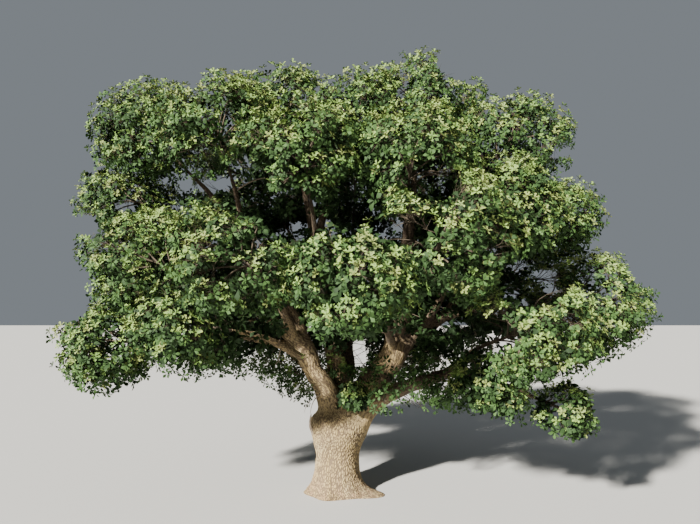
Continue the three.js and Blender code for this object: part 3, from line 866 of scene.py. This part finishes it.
def in_sky(points):
    """Whether each point stands in a passage, hollow or bay, where nothing may grow."""
    pixels = pixels_of(points)
    inside = np.zeros(len(points), bool)
    for middle, half in SKY + BAYS:
        inside |= length_of((pixels - middle) / half) < 1
    for middle, half, nearest in HOLLOWS + OPEN_LIMBS:
        inside |= (length_of((pixels - middle) / half) < 1) & (points[:, 1] < nearest)
    for place, radius in SUN_WAYS:
        offset = points - place
        along = offset @ SUN_WAY
        beside = length_of(offset - along[:, None] * SUN_WAY)
        inside |= (along > 0) & (beside < radius)
    return inside


def crown_depth(points):
    """How deep each point lies under the nearest mass's own surface, in any mass."""
    depth = np.full(len(points), -np.inf)
    for mass in masses:
        depth = np.maximum(depth, mass.reach - length_of(unsquashed(points - mass.middle)))
    return depth


def sides_of(ways):
    """Two ways square to each way and to each other."""
    helper = np.where(np.abs(ways[..., 2:]) < 0.9, UP, np.array([1.0, 0, 0]))
    first = unit(np.cross(helper, ways))
    return first, np.cross(ways, first)


def leaned(ways, turn, angle):
    """The ways, each leaning by an angle towards a turn about itself."""
    return turned(ways, turned(*sides_of(ways), turn), angle)


def bent_line(start, bend, end, share):
    """Points along bends from starts to ends."""
    share = np.asarray(share)[..., None]
    return start * (1 - share) ** 2 + bend * 2 * share * (1 - share) + end * share**2


class Twigs:
    """Bent, tapering twigs, gathered as rows of points."""

    def __init__(self):
        self.vertices = []
        self.faces = []
        self.count = 0

    def add(self, start, bend, end, foot, left, sides, steps):
        """Adds twigs that taper to a share of their foot and then close to a point."""
        foot = np.broadcast_to(foot, len(start))
        tip = left * foot
        share = np.arange(steps) / steps
        line = bent_line(start[:, None], bend[:, None], end[:, None], share)
        first, second = sides_of(unit(end - start))
        ring = turned(first[:, None], second[:, None], np.arange(sides) * 2 * math.pi / sides)
        radius = foot[:, None] + (tip - foot)[:, None] * share
        rings = line[:, :, None] + ring[:, None] * radius[:, :, None, None]
        points = np.concatenate([rings.reshape(len(start), -1, 3), end[:, None]], 1)

        # Corners of one twig's faces, and then of every twig's
        number = np.arange(steps * sides).reshape(steps, sides)
        following = np.roll(number, -1, axis=1)
        lower = np.stack([number[:-1], following[:-1], following[1:]], -1).reshape(-1, 3)
        upper = np.stack([number[:-1], following[1:], number[1:]], -1).reshape(-1, 3)
        last = np.full(sides, steps * sides)
        point = np.stack([number[-1], following[-1], last], -1)
        corners = np.concatenate([lower, upper, point])
        offsets = np.arange(len(start))[:, None, None] * points.shape[1] + self.count
        self.vertices.append(points.reshape(-1, 3))
        self.faces.append((corners + offsets).reshape(-1, 3))
        self.count += points.size // 3

    def mesh(self, name):
        return mesh_from(name, np.concatenate(self.vertices), np.concatenate(self.faces), None)


def mesh_from(name, vertices, faces, finishes):
    """A mesh from arrays; finishes gives each face's place in the list of materials."""
    mesh = bpy.data.meshes.new(name)
    corners = faces.shape[1]
    mesh.vertices.add(len(vertices))
    mesh.vertices.foreach_set("co", vertices.astype(np.float32).ravel())
    mesh.loops.add(faces.size)
    mesh.loops.foreach_set("vertex_index", faces.astype(np.int32).ravel())
    mesh.polygons.add(len(faces))
    mesh.polygons.foreach_set("loop_start", np.arange(0, faces.size, corners, dtype=np.int32))
    if finishes is not None:
        mesh.polygons.foreach_set("material_index", finishes.astype(np.int32))
    mesh.update(calc_edges=True)
    return mesh


# How a rosette, or a whole clump, stands: in the light, in others' shade or inside the crown; the
# last two take painted shade
IN_LIGHT, IN_SHADE, DEEP_INSIDE = range(3)

# Leaf of unit length: two lobes a side and a tip, folded up along its midrib and drooping
LEAF_OUTLINE = [(0.0, 0.0), (0.22, 0.33), (0.1, 0.49), (0.31, 0.72)]
LEAF_FACES = [(0, 1, 2), (0, 2, 4), (2, 3, 4), (0, 4, 6), (0, 6, 7), (6, 4, 5)]
# A plainer one, with one lobe a side, for the leaves in shade
SHADE_OUTLINE = [(0.0, 0.0), (0.13, 0.38), (0.28, 0.68)]
SHADE_FACES = [(0, 1, 5), (1, 2, 4), (1, 4, 5), (2, 3, 4)]
LEAF_FOLD = 0.35
LEAF_DROOP = 0.16
LEAF_SIZE = 0.144
# Outline, faces and length of the leaves in each light
LEAF_KINDS = {
    IN_LIGHT: (LEAF_OUTLINE, LEAF_FACES, LEAF_SIZE),
    IN_SHADE: (SHADE_OUTLINE, SHADE_FACES, LEAF_SIZE * 1.2),
    # Deep inside the crown the leaves are nearly twice as long, a near-black fill of painted shade
    DEEP_INSIDE: (SHADE_OUTLINE, SHADE_FACES, LEAF_SIZE * 1.95),
}

# From here on, a pair is the least of a range and what chance adds to it at most

# Leaves of a rosette
LEAVES_IN_ROSETTE = 6
LEAF_SIZES = (0.78, 0.4)
LEAF_STALK = 0.015
FACE_CLUMP = 0.7  # a rosette faces this much out of its clump
FACE_OUT = 0.5  # this much out of its mass
FACE_UP = 0.5  # and this much up
FACE_STRAY = 0.5
FIRST_TILT = 0.75  # the inner leaves stand up
MORE_TILT = 0.95  # and the outer ones lie flat
TILT_STRAY = 0.35
TURN_STRAY = 0.5
LEAF_ROLL = 0.7
# What makes a rosette's green lighter: facing up, which paints light on the masses' tops, its clump
# and chance
TONE_BY_PAINTED_TOP_LIGHT = 0.32
TONE_BY_CLUMP = 0.3
TONE_BY_CHANCE = 0.7

# Rosettes of a clump
ROSETTES_IN_CLUMP = 24
SMALL_CLUMPS = 1.4  # how fast a clump has fewer rosettes as its radius gets smaller
CLUMP_SHAPE = np.array([1.1, 1.1, 0.85])
ROSETTE_OUT = (0.6, 0.55)
ROSETTE_STRAY = 0.3
FACING_LEAST = -0.45  # none grows on the clump's far side
# Rosettes in a clump's middle or facing down take the painted-shade greens
TUCKED_IN = 0.64  # those nearer to the middle of their clump than this are in its shade
TUCKED_UNDER = (-0.345, 0.3)  # and so are those whose way out points lower than this
# Rosettes deep inside the crown take the darkest painted-shade greens
SHADE_INSIDE = 0.68  # share of the way from the crown's middle to its edge
SHADE_STRAY = 0.1
SHADE_KEPT = 0.62  # how many of the rosettes grow inside the crown
LOWEST_SHADE = 5.2  # lower down, light comes in from the side
SMALLEST_SHADY = 1.0  # a mass of less reach has no such shade of its own
FRONT_LIMIT = -8.93  # no rosette grows nearer to the viewer than this Y
EDGE_OVER = 0.1  # how far a rosette may stand out of its mass's reach
WALL_OVER = 0.03  # and past the wall that it shares with another
CROWN_MIDDLE = np.array([0.3, 0.3, 7.6])
CROWN_HALF = np.array([10.2, 9.3, 8.9])

# Clumps of a mass
CLUMP_SPACING = 0.76  # between the middles of neighbouring clumps
CLUMP_SHELL = 0.8  # how far out they are counted, against the reach
CLUMP_RADIUS = 0.5
CLUMP_BASE = 0.15  # but a mass of small reach has smaller ones
CLUMP_SHARE = 0.17
CLUMP_SIZES = (0.72, 0.5)
CLUMP_OUT = (0.9, 0.14)
CLUMP_ROOM = 0.45  # how far inside the walls its middle stays, against its radius
CLUMP_STEPS = 12  # in which it is drawn in
CLUMP_DRAWN = 0.9
CLUMP_LEAST = 0.3
FORK_LEAN = 0.42
FORK_LEANS = (0.85, 0.4)
WAY_LENGTHS = (0.88, 0.22)
FLAT_BELOW = 0.12
DEEP_BASE = 0.2  # a clump is deep inside this far under the crown's surface
DEEP_SHARE = 0.3  # and this much of its mass's reach
DEEP_KEPT = 0.5
INWARD_KEPT = 0.85
INNER_CLUMP = 0.27  # the size of the shaded clumps on the branches' ends, against the reach

# Wood of a mass: its radius at the foot, the share left at the tip, its sides and its steps
STEM = (0.9 * TIP_RADIUS, 0.7, 8, 8)
BRANCH = (0.032, 0.6, 5, 4)
SPRIG = (0.014, 0.6, 4, 3)
TWIG = (0.006, 0.6, 3, 1)
STEM_BEND = 0.4
STEM_SUNK = 0.02
STEM_BARE = 0.35  # share of the stem before its first branch
BRANCH_SHARE = 0.06  # no branch is stouter than this, against the reach
BRANCH_OUT = 0.5
BRANCH_ROOM = 0.1  # a branch that ends nearer to a wall is half as long
BRANCH_BEND = 0.12
BRANCH_ARCH = 0.03
SPRIG_FROM = (0.45, 0.55)
SPRIG_BEND = 0.4
INNER_FROM = 0.7
TWIG_FROM = (0.55, 0.4)
TWIG_BEND = 0.06

# Leafy shoots along the limbs: how far apart they spring, how far out they stand and their size
PLAIN_SHOOTS = (0.55, 0.35, 0.36)
LEAFY_SHOOTS = (0.3, 0.62, 0.5)
SHOOTS_FROM = 0.7  # how far along a limb the first one springs
LOWEST_SHOOT = 3.2
SHOOT_STRAY = 0.8
SHOOT_REACHES = (1, 1.5)
SHOOT_SIZES = (1, 0.5)
SHOOT_ROOT = 0.6  # how far out in the wood it springs
SHOOT_LEAN = 0.3
SHOOT_ARCH = 0.08
SHOOT_RISE = 0.3
# Stretches of the limbs that stand deep in shoots whose leaves take the painted-shade greens, some
# of them
# twice over: the limb, from and to
LEAFY_FEET = [
    ("bough_centre", 0.7, 4.0),
    ("bough_right", 0.9, 3.2),
    ("bough_right_low", 2.0, 4.4),
    ("bough_right_low", 1.4, 5.0),
    ("bough_back_left", 0.7, 6.0),
    ("bough_back_left", 1.5, 5.5),
    ("bough_back", 0.7, 7.5),
    ("bough_back_right", 0.7, 6.5),
    ("bough_back_right", 1.0, 4.0),
    ("limb_left_low", 1.2, 4.4),
    ("limb_left_low", 1.6, 5.0),
    ("limb_left_tip", 0.7, 3.4),
    ("limb_right_low", 0.6, 3.4),
    ("limb_right_hanging", 0.4, 2.6),
    ("bough_right_outer", 0.6, 4.2),
    ("limb_left_back", 0.4, 4.0),
    ("limb_right_back", 0.4, 4.5),
    ("limb_centre_back", 0.6, 4.5),
    ("limb_top_back", 0.6, 5.0),
    ("limb_top_back", 1.5, 4.5),
    ("limb_top_back_right", 0.6, 5.5),
    ("limb_top_back_right", 2.0, 5.5),
]


def leaf_template(half):
    """The points of a leaf of unit length whose right half is given."""
    right = np.array(half[1:])
    outline = np.array([half[0], *right, (0, 1), *(right[::-1] * (-1, 1))])
    height = np.abs(outline[:, 0]) * LEAF_FOLD - outline[:, 1] ** 2 * LEAF_DROOP
    return np.column_stack([outline, height])


def ways_out(stream):
    """The source's ways out of the middle of a mass, by the golden angle with a little chance."""
    for _ in range(CORE_DRAWS):
        stream()
    ways = []
    for index in range(WAYS_OUT):
        height = 1 - 2 * (index + 0.5) / WAYS_OUT
        turn = index * GOLDEN_ANGLE + WAY_CHANCE * stream()
        level = math.sqrt(1 - height**2)
        ways.append((level * math.cos(turn), level * math.sin(turn), height))
        for _ in range(3 if index % TWIG_EVERY == 0 else 2):
            stream()
    return np.array(ways)


def clumps_of(mass, ways, chance):
    """The small billows at the ends of the forks: middles, sizes, ways out and their branches."""
    shell = CLUMP_SHELL * mass.reach / CLUMP_SPACING
    forks = max(1, round(4 * math.pi * shell**2 / WAYS_OUT))
    turn = np.arange(forks) * GOLDEN_ANGLE * 2 + FULL_TURN * chance.random((len(ways), 1))
    angle = FORK_LEAN * np.sqrt(np.arange(forks) / max(forks - 1, 1))
    angle = angle * by_chance(chance, turn.shape, FORK_LEANS)
    directions = leaned(np.repeat(ways[:, None], forks, 1), turn, angle).reshape(-1, 3)
    source = np.repeat(np.arange(len(ways)), forks)
    stretch = by_chance(chance, len(ways), WAY_LENGTHS)
    size = min(CLUMP_RADIUS, CLUMP_BASE + CLUMP_SHARE * mass.reach)
    size = size * by_chance(chance, len(source), CLUMP_SIZES)
    out = (mass.reach * stretch[source] - size) * by_chance(chance, len(source), CLUMP_OUT)
    out = out * (1 - FLAT_BELOW * np.maximum(-directions[:, 2], 0))
    places = mass.middle + squashed(directions) * out[:, None]
    for _ in range(CLUMP_STEPS):
        outside = room_at(mass, places) < CLUMP_ROOM * size
        out = np.where(outside, out * CLUMP_DRAWN, out)
        places = mass.middle + squashed(directions) * out[:, None]
    kept = (out > CLUMP_LEAST * mass.reach) & (room_at(mass, places) > 0)
    deep = crown_depth(places) > DEEP_SHARE * mass.reach + DEEP_BASE
    inward = np.sum((places - mass.middle) * (mass.middle - CROWN_MIDDLE), axis=1) < 0
    fate = chance.random(len(source))
    kept &= ~deep | (fate < DEEP_KEPT)
    kept &= ~inward | (fate < INWARD_KEPT)
    return places[kept], size[kept], directions[kept], source[kept]


def inside_crown(points):
    """How far out each point lies: 0 at the crown's middle, about 1 at its edge."""
    return length_of((points - CROWN_MIDDLE) / CROWN_HALF)


def rosettes_of(places, size, directions, stand, shady, lowest, chance):
    """Rosettes of leaves over each clump's outer face, with their clump and their light, which picks
    any painted shade.
    """
    number = np.arange(ROSETTES_IN_CLUMP)
    height = 1 - 2 * (number + 0.5) / ROSETTES_IN_CLUMP
    turn = number * GOLDEN_ANGLE + FULL_TURN * chance.random((len(places), 1))
    level = np.sqrt(1 - height**2)
    ways = np.stack([level * np.cos(turn), level * np.sin(turn), height + 0 * turn], -1)
    ways = unit(ways + either_way(chance, ways.shape, ROSETTE_STRAY))
    out = size[:, None] * by_chance(chance, turn.shape, ROSETTE_OUT)
    spots = places[:, None] + ways * out[..., None] * CLUMP_SHAPE
    facing = np.einsum("cnk,ck->cn", ways, directions)
    clump = np.repeat(np.arange(len(places)), ROSETTES_IN_CLUMP).reshape(turn.shape)
    wanted = (size / CLUMP_RADIUS) ** SMALL_CLUMPS
    kept = (facing > FACING_LEAST) & (chance.random(turn.shape) < wanted[:, None])
    # Painted shade for rosettes in a clump's middle, facing down, on a shaded clump or deep inside
    # the crown
    under = ways[..., 2] < by_chance(chance, turn.shape, TUCKED_UNDER)
    tucked = ((out < TUCKED_IN * size[:, None]) | under | (stand == IN_SHADE)[:, None])[kept]
    spots, ways, clump = spots[kept], ways[kept], clump[kept]
    within = inside_crown(spots) + either_way(chance, len(spots), SHADE_STRAY) < SHADE_INSIDE
    within &= shady & (spots[:, 2] > LOWEST_SHADE)
    within |= (stand == DEEP_INSIDE)[clump]
    light = np.where(within, DEEP_INSIDE, np.where(tucked, IN_SHADE, IN_LIGHT))
    kept = (spots[:, 2] > lowest) & (spots[:, 1] > FRONT_LIMIT)
    kept &= ~within | (chance.random(len(spots)) < SHADE_KEPT)
    kept &= ~in_sky(spots)
    kept &= clear_of_limbs(spots, LIMB_MARGIN)
    return spots[kept], ways[kept], clump[kept], light[kept]


def leaves_at(spots, ways, outward, half, faces, length, chance):
    """Leaves round each rosette: the inner ones stand up and the outer ones lie flat."""
    vertices = leaf_template(half)
    facing = FACE_CLUMP * ways + FACE_OUT * outward + FACE_UP * UP
    facing = unit(facing + either_way(chance, ways.shape, FACE_STRAY))
    number = np.arange(LEAVES_IN_ROSETTE)
    shape = (len(spots), LEAVES_IN_ROSETTE)
    turn = number * GOLDEN_ANGLE + FULL_TURN * chance.random((len(spots), 1))
    turn = turn + TURN_STRAY * chance.random(shape)
    tilt = FIRST_TILT + MORE_TILT * number / LEAVES_IN_ROSETTE
    tilt = tilt + either_way(chance, shape, TILT_STRAY)
    facing = np.repeat(facing[:, None], LEAVES_IN_ROSETTE, 1)
    along = leaned(facing, turn, tilt)
    across = unit(np.cross(along, facing))
    roll = either_way(chance, shape, LEAF_ROLL)
    face = np.cross(across, along)
    across = turned(across, face, roll)
    face = np.cross(across, along)
    size = length * by_chance(chance, shape, LEAF_SIZES)
    axes = np.stack([across, along, face], -2) * size[..., None, None]
    points = np.einsum("vk,rlkx->rlvx", vertices, axes)
    points = points + (spots[:, None] + along * LEAF_STALK)[:, :, None]
    leaves = points.shape[0] * points.shape[1]
    offsets = np.arange(leaves)[:, None, None] * len(vertices)
    return points.reshape(-1, 3), (np.array(faces) + offsets).reshape(-1, 3)


def greens_for(painted_top_light, clump, light, chance):
    """A green for every rosette, dealt out by spray, lighter on top of a mass than under it as
    painted light.
    """
    shares = np.array([share for _, _, share in LEAF_COLOURS])
    edges = np.cumsum(shares / shares.sum())[:-1]
    of_clump = chance.random(clump.max() + 1)
    tone = TONE_BY_PAINTED_TOP_LIGHT * painted_top_light + TONE_BY_CLUMP * of_clump[clump]
    tone = tone + TONE_BY_CHANCE * chance.random(len(clump))
    tone = np.argsort(np.argsort(tone)) / len(tone)
    greens = np.searchsorted(edges, tone, side="right")
    # Rosettes in shade take near-black greens, painted shade
    painted_shade_green = len(LEAF_COLOURS) - 1 + light + (chance.random(len(clump)) < 0.5)
    return np.where(light == IN_LIGHT, greens, painted_shade_green)


def clothe(name, nodes, twigs, sprigs, size, directions, stand, mass, chance):
    """The rosettes of leaves on sprigs, as one piece of leaves and one of twigs."""
    start, bend, places = sprigs
    shady = mass is None or mass.reach > SMALLEST_SHADY
    lowest = LOWEST_LEAF if mass else LOWEST_SHOOT
    spots, ways, clump, light = rosettes_of(
        places, size, directions, stand, shady, lowest, chance)
    outward = directions[clump]
    if mass:
        kept = room_at(mass, spots) > -WALL_OVER
        kept &= length_of(unsquashed(spots - mass.middle)) < mass.reach + EDGE_OVER
        spots, ways, clump, light = spots[kept], ways[kept], clump[kept], light[kept]
        outward = unsquashed(spots - mass.middle) / mass.reach
    leafy = np.isin(np.arange(len(places)), clump)
    twigs.add(start[leafy], bend[leafy], places[leafy], *SPRIG)

    # Twigs run from the sprigs to the rosettes
    fork = by_chance(chance, len(spots), TWIG_FROM)
    twig_start = bent_line(start[clump], bend[clump], places[clump], fork)
    twig_bend = (twig_start + spots) / 2 + directions[clump] * TWIG_BEND
    twigs.add(twig_start, twig_bend, spots, *TWIG)

    # Rosettes that face up take lighter greens: painted top light, partly the paler sun leaves
    rosette_greens = greens_for(outward[:, 2] + ways[:, 2], clump, light, chance)
    vertices = []
    faces = []
    greens = []
    count = 0
    for kind, (half, leaf_faces, length) in LEAF_KINDS.items():
        chosen = light == kind
        points, corners = leaves_at(
            spots[chosen], ways[chosen], outward[chosen], half, leaf_faces, length, chance)
        vertices.append(points)
        faces.append(corners + count)
        greens.append(np.repeat(rosette_greens[chosen], LEAVES_IN_ROSETTE * len(leaf_faces)))
        count += len(points)
    leaves = mesh_from(
        "leaves_" + name, *(np.concatenate(rows) for rows in (vertices, faces, greens)))
    add_piece("leaves_" + name, leaves, leaf_greens, "leaves", *nodes)
    add_piece("twigs_" + name, twigs.mesh("twigs_" + name), [twig_bark], "bark", *nodes)


def grow_mass(mass):
    """The twigs and leaves of one mass, on from the tip of its limb."""
    stream = stream_of("foliage_" + mass.name)
    ways = ways_out(stream)
    chance = np.random.default_rng(int(stream() * 2**32))
    places, clump_size, directions, source = clumps_of(mass, ways, chance)
    foot, bend = mass.stem
    twigs = Twigs()
    twigs.add(foot[None], bend[None], mass.middle[None], *STEM)

    # Branches leave the stem, those that point back to the limb first
    heading = unit(mass.middle - foot)
    leaving = STEM_BARE + (1 - STEM_BARE) * (1 + ways @ heading) / 2
    start = bent_line(foot, bend, mass.middle, leaving)
    end = mass.middle + squashed(ways) * mass.reach * BRANCH_OUT
    short = room_at(mass, end) < BRANCH_ROOM
    end[short] = mass.middle + squashed(ways[short]) * mass.reach * 0.5 * BRANCH_OUT
    arch = heading * BRANCH_BEND * mass.reach + UP * BRANCH_ARCH * mass.reach
    middle = (start + end) / 2 + arch
    used = np.isin(np.arange(len(ways)), source)
    stoutest, *shape = BRANCH
    radius = min(stoutest, BRANCH_SHARE * mass.reach)
    twigs.add(start[used], middle[used], end[used], radius, *shape)

    # Sprigs fork off the branches to the middles of the clumps
    fork = by_chance(chance, len(places), SPRIG_FROM)
    sprig_start = bent_line(start[source], middle[source], end[source], fork)
    lead = unit(end[source] - middle[source])
    length = length_of(places - sprig_start)[:, None]
    sprig_bend = sprig_start + lead * SPRIG_BEND * length

    # Other sprigs reach the clumps on the branches' ends, whose leaves all take the near-black
    # painted shade of the crown's inside
    inner_start = bent_line(start[used], middle[used], end[used], INNER_FROM)
    inner_size = np.full(used.sum(), INNER_CLUMP * mass.reach)
    sprigs = (
        np.concatenate([sprig_start, inner_start]),
        np.concatenate([sprig_bend, (inner_start + end[used]) / 2]),
        np.concatenate([places, end[used]]),
    )
    size = np.concatenate([clump_size, inner_size])
    directions = np.concatenate([directions, ways[used]])
    stand = np.repeat([IN_LIGHT, DEEP_INSIDE], [len(places), len(inner_size)])
    nodes = ["foliage_" + mass.name]
    clothe(mass.name, nodes, twigs, sprigs, size, directions, stand, mass, chance)


def shoots_on(limb, low, high, spacing, out, size, chance):
    """Shoots all round a stretch of a limb: feet, bends, places, sizes and ways out."""
    count = int((high - low) / spacing)
    stray = SHOOT_STRAY * chance.random(count)
    share = (low + (high - low) * (np.arange(count) + stray) / count) / limb.curve.length
    turn = np.arange(count) * GOLDEN_ANGLE + FULL_TURN * chance.random()
    line = limb.curve.at(share)
    along = limb.curve.way_at(share)
    side = limb.curve.side_at(share)
    aside = turned(side, np.cross(along, side), turn)
    radius = limb.radius_at(share)
    reach = radius + out * by_chance(chance, count, SHOOT_REACHES)
    start = line + aside * SHOOT_ROOT * radius[:, None]
    places = line + aside * reach[:, None] + along * SHOOT_LEAN
    bend = (start + places) / 2 + UP * SHOOT_ARCH
    sizes = size * by_chance(chance, count, SHOOT_SIZES)
    return start, bend, places, sizes, unit(aside + SHOOT_RISE * UP)


def grow_shoots():
    """Short leafy shoots that spring from the bark of the boughs and limbs."""
    chance = np.random.default_rng(int(stream_of("shoots")() * 2**32))
    shoots = [shoots_on(limb, SHOOTS_FROM, limb.curve.length, *PLAIN_SHOOTS, chance)
              for limb in limbs.values()]
    plain = sum(len(rows[0]) for rows in shoots)
    shoots += [shoots_on(limbs[name], low, high, *LEAFY_SHOOTS, chance)
               for name, low, high in LEAFY_FEET]
    start, bend, places, sizes, directions = (np.concatenate(rows) for rows in zip(*shoots))
    # The shoots on the leafy feet take painted shade
    stand = np.repeat([IN_LIGHT, IN_SHADE], [plain, len(start) - plain])
    clothe("shoots", [], Twigs(), (start, bend, places), sizes, directions, stand, None, chance)


def make_dead_wood():
    """The splinter on the trunk's shoulder and the bare dead twigs, pale and without bark."""
    wood = Twigs()
    for foot, bend, tip, radius in DEAD_WOOD:
        line = [np.array([place]) for place in (foot, bend, tip)]
        wood.add(*line, radius, *DEAD_SHAPE)
    add_piece("dead_wood", wood.mesh("dead_wood"), [dead_wood], "bark")


# Floor, light and camera

FLOOR_SIZE = 400
FLOOR_PALE = rgb(0.4, 0.4, 0.39)
SKYLIGHT = rgb(0.82, 0.91, 1.0)
SKYLIGHT_STRENGTH = 0.245
LAMP_COLOUR = (1.0, 0.96, 0.88)
# Name, the way to it, its strength and how many degrees wide it is
LAMPS = [
    ("key", (-0.62, -0.76, 0.45), 22.5, 3),
    ("fill", (0.8, -0.3, 0.5), 0.2, 60),
]


def make_floor():
    floor = bmesh.new()
    bmesh.ops.create_grid(floor, x_segments=1, y_segments=1, size=FLOOR_SIZE)
    mesh = bpy.data.meshes.new("floor")
    floor.to_mesh(mesh)
    floor.free()
    mesh.materials.append(plain_finish("floor_pale", FLOOR_PALE, 0.9, 0.1))
    placed("floor", mesh)


def make_light():
    world = bpy.data.worlds.new("studio")
    world.use_nodes = True
    background = world.node_tree.nodes["Background"]
    background.inputs["Color"].default_value = SKYLIGHT
    background.inputs["Strength"].default_value = SKYLIGHT_STRENGTH
    bpy.context.scene.world = world
    for name, toward, strength, width in LAMPS:
        light = bpy.data.lights.new(name, "SUN")
        light.energy = strength
        light.angle = math.radians(width)
        light.color = LAMP_COLOUR
        lamp = placed(name, light)
        lamp.rotation_euler = Vector(toward).to_track_quat("Z", "Y").to_euler()


def make_camera():
    camera = bpy.data.cameras.new("camera")
    camera.sensor_width = SENSOR_WIDTH
    camera.lens = FOCAL_PIXELS * SENSOR_WIDTH / FRAME_WIDTH
    camera.clip_end = 1000
    holder = placed("camera", camera)
    holder.location = CAMERA_PLACE
    holder.rotation_euler = (math.pi / 2 + CAMERA_PITCH, 0, 0)
    bpy.context.scene.camera = holder


make_camera()
make_light()
make_floor()

limbs = {}
for entry in LIMBS:
    limbs[entry[0]] = Limb(entry, limbs)
masses = [limb.mass for limb in limbs.values()]
sprout_bend = (SPROUT_FOOT + SPROUT[1]) / 2
masses.append(Mass(*SPROUT, (SPROUT_FOOT, sprout_bend)))

make_trunk()
for limb in limbs.values():
    limb.make()
make_dead_wood()
for mass in masses:
    grow_mass(mass)
grow_shoots()
